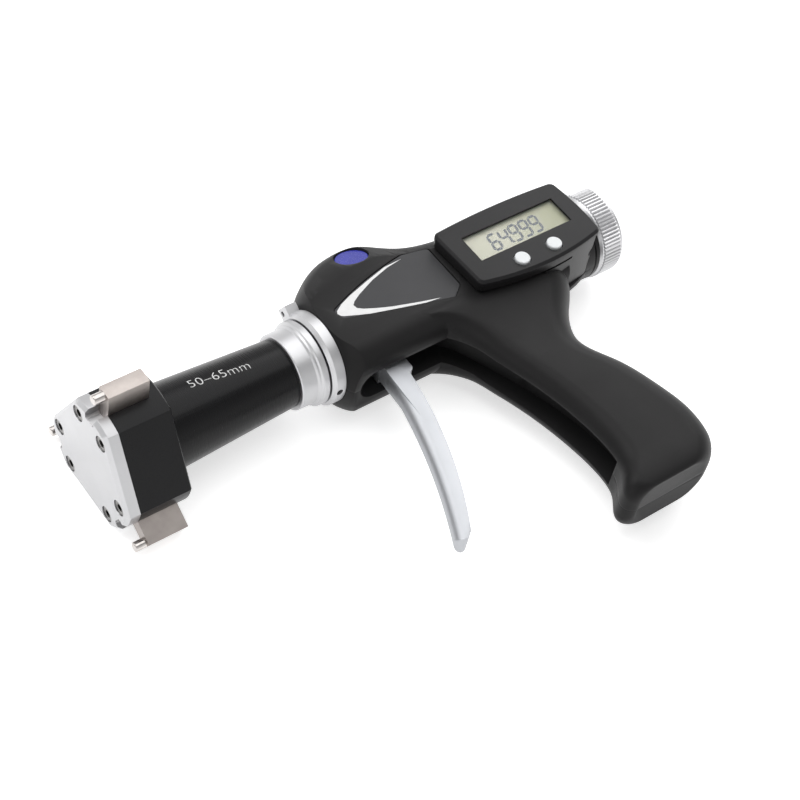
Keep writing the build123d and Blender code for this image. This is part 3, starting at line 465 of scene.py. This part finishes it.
@dataclass
class Workshop:
    """Tools that shape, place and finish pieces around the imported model."""

    frame: dict = field(default_factory=dict)

    def only(self, piece: bpy.types.Object) -> None:
        """Selects one piece and nothing else."""
        bpy.ops.object.select_all(action="DESELECT")
        piece.select_set(True)
        bpy.context.view_layer.objects.active = piece

    def modify(self, piece: bpy.types.Object, kind: str, **settings: object) -> None:
        """Adds a modifier and applies it.

        Args:
            piece: The piece to change.
            kind: Type of the modifier.
            **settings: Its settings by name.
        """
        self.only(piece)
        modifier = piece.modifiers.new(kind.lower(), kind)
        for name, value in settings.items():
            setattr(modifier, name, value)
        bpy.ops.object.modifier_apply(modifier=modifier.name)

    def smooth(self, piece: bpy.types.Object, angle: float = 32.0) -> None:
        """Shades the piece smooth up to an angle between faces."""
        self.only(piece)
        bpy.ops.object.shade_smooth_by_angle(angle=math.radians(angle))

    def from_node(
        self, node: str, name: str, bevel: float = 0.0, flat: float = 0.4, limit: float = 30.0,
        even: bool = True,
    ) -> bpy.types.Object:
        """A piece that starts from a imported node's shape, joined up and with softened edges.

        Args:
            node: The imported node.
            name: Name of the new piece.
            bevel: Width of the softened edges in millimetres.
            flat: Largest angle in degrees between faces that become one.
            limit: Smallest angle in degrees of an edge that is softened.
            even: Whether large flat faces hold their shade up to their edges.

        Returns:
            The new piece.
        """
        piece = bpy.data.objects.new(name, self.frame["nodes"][node].data.copy())
        bpy.context.scene.collection.objects.link(piece)
        self.only(piece)
        bpy.ops.mesh.customdata_custom_splitnormals_clear()
        bpy.ops.object.mode_set(mode="EDIT")
        bpy.ops.mesh.select_all(action="SELECT")
        bpy.ops.mesh.remove_doubles(threshold=0.002 * MM)
        if flat:
            bpy.ops.mesh.dissolve_limited(angle_limit=math.radians(flat))
        bpy.ops.object.mode_set(mode="OBJECT")
        if bevel:
            self.modify(
                piece, "BEVEL", width=bevel * MM, segments=2, limit_method="ANGLE",
                angle_limit=math.radians(limit), use_clamp_overlap=True,
            )
        self.smooth(piece)
        if even:
            self.modify(piece, "WEIGHTED_NORMAL", mode="FACE_AREA", weight=60, keep_sharp=True)
        return piece

    def outline(
        self, name: str, loops: Sequence[Sequence[Point]], z: float, thick: float,
    ) -> bpy.types.Object:
        """A thin flat piece filled between closed outlines.

        Args:
            name: Name of the piece.
            loops: Closed outlines of (x, y) points in millimetres.
            z: Height of its underside in millimetres.
            thick: Its thickness in millimetres.

        Returns:
            The new mesh piece.
        """
        curve = bpy.data.curves.new(name, "CURVE")
        curve.dimensions = "2D"
        curve.fill_mode = "BOTH"
        curve.extrude = thick / 2 * MM
        for loop in loops:
            spline = curve.splines.new("POLY")
            spline.points.add(len(loop) - 1)
            for point, (x, y) in zip(spline.points, loop):
                point.co = (x * MM, y * MM, 0, 1)
            spline.use_cyclic_u = True
        piece = bpy.data.objects.new(name, curve)
        bpy.context.scene.collection.objects.link(piece)
        self.only(piece)
        bpy.ops.object.convert(target="MESH")
        piece = bpy.context.view_layer.objects.active
        piece.location = (0, 0, (z + thick / 2) * MM)
        self.settle(piece)
        self.smooth(piece)
        return piece

    def settle(self, piece: bpy.types.Object) -> None:
        """Moves the piece's place into its mesh."""
        self.only(piece)
        bpy.ops.object.transform_apply(location=True, rotation=True, scale=True)

    def seat(
        self, piece: bpy.types.Object, look: Look, body: str, slot: str, replaces: Sequence[str] = (),
    ) -> bpy.types.Object:
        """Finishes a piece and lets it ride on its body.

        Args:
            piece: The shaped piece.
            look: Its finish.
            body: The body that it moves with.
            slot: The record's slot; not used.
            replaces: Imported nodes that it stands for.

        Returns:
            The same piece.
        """
        piece.data.materials.clear()
        piece.data.materials.append(Paint.of(look))
        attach(piece, body)
        if replaces:
            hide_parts(*replaces)
        LOG.info("%s rides on %s in %s", piece.name, body, look.value)
        return piece

    def clad(
        self, node: str, name: str, look: Look, body: str, slot: str,
        bevel: float = 0.0, flat: float = 0.4, limit: float = 30.0, even: bool = True,
    ) -> bpy.types.Object:
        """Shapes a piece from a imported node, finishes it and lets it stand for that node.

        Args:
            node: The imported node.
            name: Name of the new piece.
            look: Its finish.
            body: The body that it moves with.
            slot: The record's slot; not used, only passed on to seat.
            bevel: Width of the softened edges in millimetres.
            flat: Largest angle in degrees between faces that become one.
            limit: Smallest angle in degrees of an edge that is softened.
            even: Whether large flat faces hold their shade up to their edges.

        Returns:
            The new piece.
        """
        return self.seat(self.from_node(node, name, bevel, flat, limit, even), look, body, slot, [node])

    def dress(self, nodes: Iterable[str], look: Look) -> None:
        """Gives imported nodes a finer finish."""
        for name in nodes:
            for place in self.frame["nodes"][name].material_slots:
                place.material = Paint.of(look)
            LOG.info("%s is finished in %s", name, look.value)


@dataclass
class MeasuringHead:
    """Head with its silver cap, black block, three anvils and their bright pins."""

    shop: Workshop
    edge: float = 0.22

    def build(self) -> None:
        """Makes and dresses the head."""
        shop = self.shop
        shop.clad("head_block", "black_head_block", Look.BLACK_ANODISED, "frame", "head_black", self.edge)
        shop.clad("head_cap", "silver_head_cap", Look.SATIN_ALUMINIUM, "frame", "cap_aluminium", 0.12)
        shop.clad("cap_screws", "cap_socket_screws", Look.DARK_SCREW, "frame", "screw_steel", 0.12)
        for letter in "abc":
            body = f"anvil_{letter}"
            shop.clad(body, f"ground_anvil_{letter}", Look.GROUND_STEEL, body, "ground_steel", 0.15)
            shop.clad(f"pin_{letter}", f"bright_pin_{letter}", Look.BRIGHT_PIN, body, "pin_chrome", 0.12)


@dataclass
class Neck:
    """Black neck tube with its printed range, the silver sleeve and the clamp ring."""

    shop: Workshop
    front: float = 24.0
    rear: float = 73.2
    front_radius: float = 15.0
    rear_radius: float = 12.3
    words: str = "50\u201365mm"
    text_height: float = 3.75
    text_stretch: float = 1.12
    text_thin: float = -0.07
    text_start: float = 37.1
    text_angle: float = 89.2
    text_rise: float = 0.0068

    def radius(self, x: float) -> float:
        """Radius of the neck at a place along the axis in millimetres."""
        share = (x - self.front) / (self.rear - self.front)
        return self.front_radius + (self.rear_radius - self.front_radius) * share

    def numerals(self) -> bpy.types.Object:
        """The range, laid around the taper as a thin print.

        Returns:
            The printed piece.
        """
        curve = bpy.data.curves.new("range_numerals", "FONT")
        curve.body = self.words
        curve.size = self.text_height * 1.32 * MM
        curve.space_character = 1.02
        curve.offset = self.text_thin * MM
        curve.resolution_u = 4
        piece = bpy.data.objects.new("range_numerals", curve)
        bpy.context.scene.collection.objects.link(piece)
        self.shop.only(piece)
        bpy.ops.object.convert(target="MESH")
        piece = bpy.context.view_layer.objects.active
        for vertex in piece.data.vertices:
            x = self.text_start + vertex.co.x / MM * self.text_stretch
            radius = self.radius(x)
            angle = math.radians(self.text_angle) + (
                x - self.text_start
            ) * self.text_rise - vertex.co.y / MM / radius
            reach = radius + 0.01
            vertex.co = Vector((x, reach * math.cos(angle), reach * math.sin(angle))) * MM
        self.shop.modify(piece, "SOLIDIFY", thickness=0.02 * MM, offset=1.0)
        return piece

    def build(self) -> None:
        """Makes and dresses the neck and the silver rings."""
        shop = self.shop
        shop.clad("neck", "black_neck_tube", Look.BLACK_TURNED, "frame", "head_black", 0.15)
        shop.seat(self.numerals(), Look.WHITE_PRINT, "frame", "button_white")
        shop.clad("nose_sleeve", "silver_nose_sleeve", Look.TURNED_ALUMINIUM, "frame", "ring_aluminium", 0.12)
        shop.clad("clamp_ring", "silver_clamp_ring", Look.TURNED_ALUMINIUM, "frame", "ring_aluminium", 0.15)
        shop.clad("ring_set_screw", "clamp_set_screw", Look.BLACK_SCREW, "frame", "screw_steel", 0.08)


@dataclass
class PistolBody:
    """Soft-touch shells with the pointed label and the round badge."""

    shop: Workshop
    label_top: float = 16.7
    back_start: float = 150.0
    back_end: float = 184.0
    back_low: float = 4.0
    back_top: float = 16.4
    chevron: tuple[Point, ...] = (
        (96.0, 2.3), (95.4, 1.2), (96.0, -0.1), (96.9, -0.7), (101.6, -2.7), (107.7, -5.0), (117.8, -8.0),
        (124.5, -9.4), (130.8, -10.1),
        (124.0, -8.3), (113.8, -5.2), (108.5, -3.1), (104.5, -1.2), (102.7, 0.2), (102.4, 1.8), (103.7, 3.0),
        (106.8, 4.7), (114.6, 7.9), (122.5, 10.1), (129.4, 11.1), (121.8, 10.8), (112.7, 8.5), (103.7, 5.9),
        (99.0, 4.1),
    )

    def level_back(self, shell: bpy.types.Object, depth: float) -> None:
        """Draws the swell behind the display down to the straight top line of the body.

        Args:
            shell: The shell's piece.
            depth: Height in millimetres at which the shell's top line is felt for.
        """
        placed = []
        for vertex in shell.data.vertices:
            x, y, z = vertex.co / MM
            if x > self.back_start and y > self.back_low:
                hit, spot, _, _ = shell.ray_cast(
                    Vector((min(x, self.back_end), 60, depth)) * MM, Vector((0, -1, 0)),
                )
                swell = spot.y / MM if hit else self.back_top
                if swell > self.back_top:
                    y = self.back_low + (y - self.back_low) * (
                        self.back_top - self.back_low
                    ) / (swell - self.back_low)
            placed.append(Vector((x, y, z)) * MM)
        for vertex, spot in zip(shell.data.vertices, placed):
            vertex.co = spot

    def build(self) -> None:
        """Makes and dresses the body."""
        shop = self.shop
        for side, depth in (("near", 0.5), ("far", -0.5)):
            shell = shop.from_node(f"{side}_shell", f"soft_{side}_shell", 0.25, 0.2, 40, False)
            self.level_back(shell, depth)
            shop.seat(shell, Look.SOFT_SHELL, "frame", "soft_shell", [f"{side}_shell"])
        shop.clad("label_plate", "grey_label_plate", Look.LABEL, "frame", "label_grey", 0.12)
        shop.seat(
            shop.outline("label_chevron", [self.chevron], self.label_top + 0.005, 0.03), Look.WHITE_PRINT,
            "frame", "button_white",
        )
        shop.clad("shell_screws", "shell_socket_screws", Look.BLACK_SCREW, "frame", "screw_steel", 0.12)
        shop.clad("badge", "blue_badge", Look.BADGE, "frame", "badge_blue", 0.1)


@dataclass
class Trigger:
    """Long silver trigger lever and its pins."""

    shop: Workshop

    def build(self) -> None:
        """Makes and dresses the trigger."""
        shop = self.shop
        shop.clad(
            "trigger_lever", "silver_trigger_lever", Look.BLASTED_ALUMINIUM, "trigger", "lever_aluminium",
            0.3, flat=0.0, limit=40, even=False,
        )
        shop.dress(["drive_pin", "lever_pivot_pin"], Look.HARD_STEEL)


@dataclass
class Display:
    """Display case with its bezel, window, reading, buttons and data port."""

    shop: Workshop
    reading: str = "64.999"
    digit_start: Point = (158.2, -4.9)
    digit_height: float = 7.0
    digit_width: float = 3.15
    digit_pitch: float = 4.6
    stroke: float = 1.05
    slant: float = 0.14
    panel_top: float = 21.1
    face_top: float = 23.0
    # Radii and number of sides of the black rings painted round the buttons as the shadow of their gaps.
    shadow_ring_inner: float = 3.15
    shadow_ring_outer: float = 3.6
    shadow_ring_sides: int = 48
    button_spots: tuple[Point, ...] = ((162.5, -13.6), (177.0, -13.5))
    lit: dict[str, str] = field(default_factory=lambda: {"6": "acdefg", "4": "bcfg", "9": "abcdfg"})

    def bar(self, a: Point, b: Point) -> list[Point]:
        """A six-sided bar between two points of a digit.

        Args:
            a: First end in the digit's own millimetres.
            b: Second end.

        Returns:
            Its corners.
        """
        start, end = Vector(a), Vector(b)
        along = (end - start).normalized()
        side = Vector((-along.y, along.x)) * self.stroke / 2
        a_in, b_in = start + along * (self.stroke * 0.58), end - along * (self.stroke * 0.58)
        tip = along * self.stroke * 0.5
        return [tuple(p) for p in (a_in - tip, a_in + side, b_in + side, b_in + tip, b_in - side, a_in - side)]

    def digits(self) -> bpy.types.Object:
        """The reading as thin dark segments on the panel.

        Returns:
            One piece with all its segments.
        """
        w, h = self.digit_width, self.digit_height
        ends = {
            "a": ((0, h), (w, h)), "b": ((w, h), (w, h / 2)), "c": ((w, h / 2), (w, 0)),
            "d": ((0, 0), (w, 0)),
            "e": ((0, h / 2), (0, 0)), "f": ((0, h), (0, h / 2)), "g": ((0, h / 2), (w, h / 2)),
        }
        loops, x = [], self.digit_start[0]
        for sign in self.reading:
            if sign == ".":
                corners = [[(0, 0), (0.7, 0), (0.7, 0.7), (0, 0.7)]]
                step, offset = 0.0, -1.15
            else:
                corners = [self.bar(*ends[name]) for name in self.lit[sign]]
                step, offset = self.digit_pitch, 0.0
            for loop in corners:
                loops.append([(x + offset + px + py * self.slant, self.digit_start[1] + py) for px, py in loop])
            x += step
        return self.shop.outline("reading_digits", loops, self.panel_top + 0.005, 0.03)

    def rings(self) -> bpy.types.Object:
        """Thin black rings round the two buttons: painted shadow standing in for the shade in the gaps round
        them.

        Returns:
            One piece with both rings.
        """
        turns = [2 * math.pi * step / self.shadow_ring_sides for step in range(self.shadow_ring_sides)]
        loops = [
            [(x + radius * math.cos(turn), y + radius * math.sin(turn)) for turn in turns]
            for x, y in self.button_spots
            for radius in (self.shadow_ring_outer, self.shadow_ring_inner)
        ]
        return self.shop.outline("button_shadow_rings", loops, self.face_top + 0.005, 0.03)

    def build(self) -> None:
        """Makes and dresses the display."""
        shop = self.shop
        shop.clad("display_gasket", "black_case_gasket", Look.RUBBER, "frame", "gasket_rubber", 0.1)
        shop.clad("rear_housing", "rear_case", Look.CASE, "frame", "case_plastic", 0.25, flat=0.3, limit=35)
        shop.clad("display_bezel", "display_face", Look.BEZEL, "frame", "case_plastic", 0.15, flat=0.3)
        shop.clad("display_window", "clear_window_pane", Look.WINDOW, "frame", "clear_window", 0.0)
        shop.clad("lcd_panel", "reading_panel", Look.LCD, "frame", "lcd_glass", 0.05)
        shop.seat(self.digits(), Look.SEGMENT, "frame", "sensor_black")
        # Black rings printed round the buttons as painted shadow in the gaps round them.
        shop.seat(self.rings(), Look.BLACK_ANODISED, "frame", "sensor_black")
        for name in ("mode", "set"):
            node = f"{name}_button"
            shop.clad(node, f"white_{node}", Look.BUTTON, node, "button_white", 0.0)
        shop.clad("port_socket", "data_port_socket", Look.SENSOR, "frame", "sensor_black", 0.1)


@dataclass
class RearKnob:
    """Knurled silver knob behind its black flange."""

    shop: Workshop
    rim_from: float = 16.0
    rim_inset: float = 1.5

    def narrow(self, flange: bpy.types.Object) -> None:
        """Draws the flange's rim in so that the knob stands out past it.

        Args:
            flange: The flange's piece.
        """
        for vertex in flange.data.vertices:
            reach = math.hypot(vertex.co.y, vertex.co.z) / MM
            if reach > self.rim_from:
                share = (reach - self.rim_inset) / reach
                vertex.co = (vertex.co.x, vertex.co.y * share, vertex.co.z * share)

    def build(self) -> None:
        """Makes and dresses the knob."""
        shop = self.shop
        flange = shop.from_node("rear_flange", "black_rear_flange", 0.15)
        self.narrow(flange)
        shop.seat(flange, Look.BLACK_TURNED, "frame", "head_black", ["rear_flange"])
        shop.dress(["rear_knob"], Look.KNURLED_ALUMINIUM)
        shop.dress(["knob_stem"], Look.HARD_STEEL)
        shop.dress(["knob_clip"], Look.SPRING_WIRE)
        shop.dress(["flange_screws"], Look.BLACK_SCREW)


@dataclass
class InnerWorks:
    """Pieces inside the head, barrel and display case."""

    shop: Workshop
    spring_seat: float = 146.0
    stroke: float = 10.2

    def build(self) -> None:
        """Finishes the pieces that stay inside."""
        finishes = {
            Look.HARD_STEEL: ["measuring_cone", "front_rod", "yoke", "rear_rod"],
            Look.BRONZE: ["front_bush", "middle_bush", "rear_bush"],
            Look.SPRING_WIRE: ["return_spring_a", "return_spring_b", "return_spring_c", "battery_clip"],
            Look.DARK_SCREW: ["peg_a", "peg_b", "peg_c"],
            Look.TURNED_ALUMINIUM: ["barrel"],
            Look.NICKEL: ["encoder_scale", "battery"],
            Look.BOARD: ["circuit_board"],
            Look.SENSOR: ["button_switches", "reader_head"],
        }
        for look, nodes in finishes.items():
            self.shop.dress(nodes, look)
        spring = self.shop.clad(
            "main_spring", "coiled_main_spring", Look.SPRING_WIRE, "frame", "spring_steel", 0.0, flat=0.0,
            even=False,
        )
        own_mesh(spring)


@dataclass
class Studio:
    """Pale floor, soft light and the camera."""

    shop: Workshop
    floor_z: float = -0.0192
    camera_spot: tuple[float, float, float] = (-0.1740, -0.2947, 0.4680)
    right: tuple[float, float, float] = (0.7992, -0.5845, 0.1402)
    up: tuple[float, float, float] = (0.3910, 0.6827, 0.6173)
    back: tuple[float, float, float] = (-0.4565, -0.4385, 0.7741)
    lens: float = 81.0
    floor_glow: float = 0.62
    overhead: float = 0.35
    ambient: float = 0.24

    def camera(self) -> None:
        """Places the camera at the photograph's angle."""
        data = bpy.data.cameras.new("camera")
        data.lens = self.lens
        data.sensor_width = 36
        data.clip_start = 0.01
        eye = bpy.data.objects.new("camera", data)
        bpy.context.scene.collection.objects.link(eye)
        turn = Matrix((self.right, self.up, self.back)).transposed()
        eye.matrix_world = Matrix.Translation(self.camera_spot) @ turn.to_quaternion().to_matrix().to_4x4()
        bpy.context.scene.camera = eye

    def lamp(
        self, name: str, spot: Sequence[float], size: float, watts: float,
        aim: Sequence[float] = (0.11, -0.02, 0),
    ) -> None:
        """Adds a square soft light.

        Args:
            name: Name of the lamp.
            spot: Its place in metres.
            size: Length of its side in metres.
            watts: Its power.
            aim: The point that it faces.
        """
        data = bpy.data.lights.new(name, "AREA")
        data.size = size
        data.energy = watts
        lamp = bpy.data.objects.new(name, data)
        bpy.context.scene.collection.objects.link(lamp)
        lamp.location = spot
        lamp.rotation_euler = (Vector(aim) - Vector(spot)).to_track_quat("-Z", "Y").to_euler()

    def floor(self) -> None:
        """Adds the plain pale floor."""
        bpy.ops.object.select_all(action="DESELECT")
        bpy.ops.mesh.primitive_plane_add(size=6, location=(0.1, 0, self.floor_z))
        floor = bpy.context.view_layer.objects.active
        floor.name = "floor"
        self.shop.settle(floor)
        floor.data.materials.append(self.white_floor())

    def shown(self, nodes: bpy.types.Nodes, links: bpy.types.NodeLinks) -> bpy.types.NodeSocket:
        """A value of 1 where the eye sees the set, straight, in a reflection or through glass.

        Args:
            nodes: The tree's nodes.
            links: The tree's links.

        Returns:
            The value socket.
        """
        path = nodes.new("ShaderNodeLightPath")
        value = path.outputs["Is Camera Ray"]
        for other in ("Is Glossy Ray", "Is Transmission Ray"):
            both = nodes.new("ShaderNodeMath")
            both.operation = "MAXIMUM"
            links.new(value, both.inputs[0])
            links.new(path.outputs[other], both.inputs[1])
            value = both.outputs[0]
        return value

    def white_floor(self) -> bpy.types.Material:
        """A floor that looks white, keeps the shadow and throws little light back up."""
        material = FINISHES[Look.FLOOR].material("floor")
        nodes, links = material.node_tree.nodes, material.node_tree.links
        shader = next(node for node in nodes if node.type == "BSDF_PRINCIPLED")
        seen = self.shown(nodes, links)
        colour = shader.inputs["Base Color"].links[0].from_socket
        mix = nodes.new("ShaderNodeMix")
        mix.data_type = "RGBA"
        links.new(seen, mix.inputs["Factor"])
        mix.inputs[6].default_value = (0.40, 0.40, 0.40, 1)
        links.new(colour, mix.inputs[7])
        links.new(mix.outputs[2], shader.inputs["Base Color"])
        glow = nodes.new("ShaderNodeMath")
        glow.operation = "MULTIPLY"
        links.new(seen, glow.inputs[0])
        glow.inputs[1].default_value = self.floor_glow
        links.new(glow.outputs[0], shader.inputs["Emission Strength"])
        shader.inputs["Emission Color"].default_value = (1, 1, 1, 1)
        return material

    def world(self) -> None:
        """Surrounds the set with a white backdrop that darkens overhead and little other light."""
        world = bpy.data.worlds.new("studio")
        bpy.context.scene.world = world
        world.use_nodes = True
        nodes, links = world.node_tree.nodes, world.node_tree.links
        nodes.clear()
        output = nodes.new("ShaderNodeOutputWorld")
        background = nodes.new("ShaderNodeBackground")
        split = nodes.new("ShaderNodeSeparateXYZ")
        links.new(nodes.new("ShaderNodeTexCoord").outputs["Generated"], split.inputs[0])
        rise = nodes.new("ShaderNodeMapRange")
        links.new(split.outputs["Z"], rise.inputs["Value"])
        rise.inputs["From Min"].default_value = 0.25
        rise.inputs["From Max"].default_value = 0.75
        rise.inputs["To Min"].default_value = 1.0
        rise.inputs["To Max"].default_value = self.overhead
        level = nodes.new("ShaderNodeMapRange")
        links.new(self.shown(nodes, links), level.inputs["Value"])
        level.inputs["To Min"].default_value = self.ambient
        links.new(rise.outputs[0], level.inputs["To Max"])
        background.inputs["Color"].default_value = (1, 1, 1, 1)
        links.new(level.outputs[0], background.inputs["Strength"])
        links.new(background.outputs[0], output.inputs[0])

    def build(self) -> None:
        """Sets up the camera, floor, lamps and backdrop."""
        bpy.context.scene.view_settings.view_transform = "Standard"
        self.camera()
        self.floor()
        self.world()
        self.lamp("soft_box", (0.33, 0.12, 0.90), 1.1, 5.6)
        self.lamp("key_light", (-0.30, 0.50, 0.85), 0.7, 4.2)
        self.lamp("side_light", (-0.75, -0.35, 0.35), 0.5, 0.9)
        self.lamp("rear_light", (0.75, 0.35, 0.45), 0.5, 2.0)
        LOG.info("camera, floor, backdrop and lamps are in place")


def main() -> None:
    """Builds the studio and every sub-assembly in order."""
    logging.basicConfig(level=logging.INFO, format="%(message)s")
    shop = Workshop(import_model())
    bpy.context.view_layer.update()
    parts = (
        Studio(shop), MeasuringHead(shop), Neck(shop), PistolBody(shop), Trigger(shop), Display(shop),
        RearKnob(shop), InnerWorks(shop),
    )
    for part in parts:
        part.build()
        LOG.info("%s is built", type(part).__name__)
    bpy.context.view_layer.update()


if __name__ == "__main__":
    main()
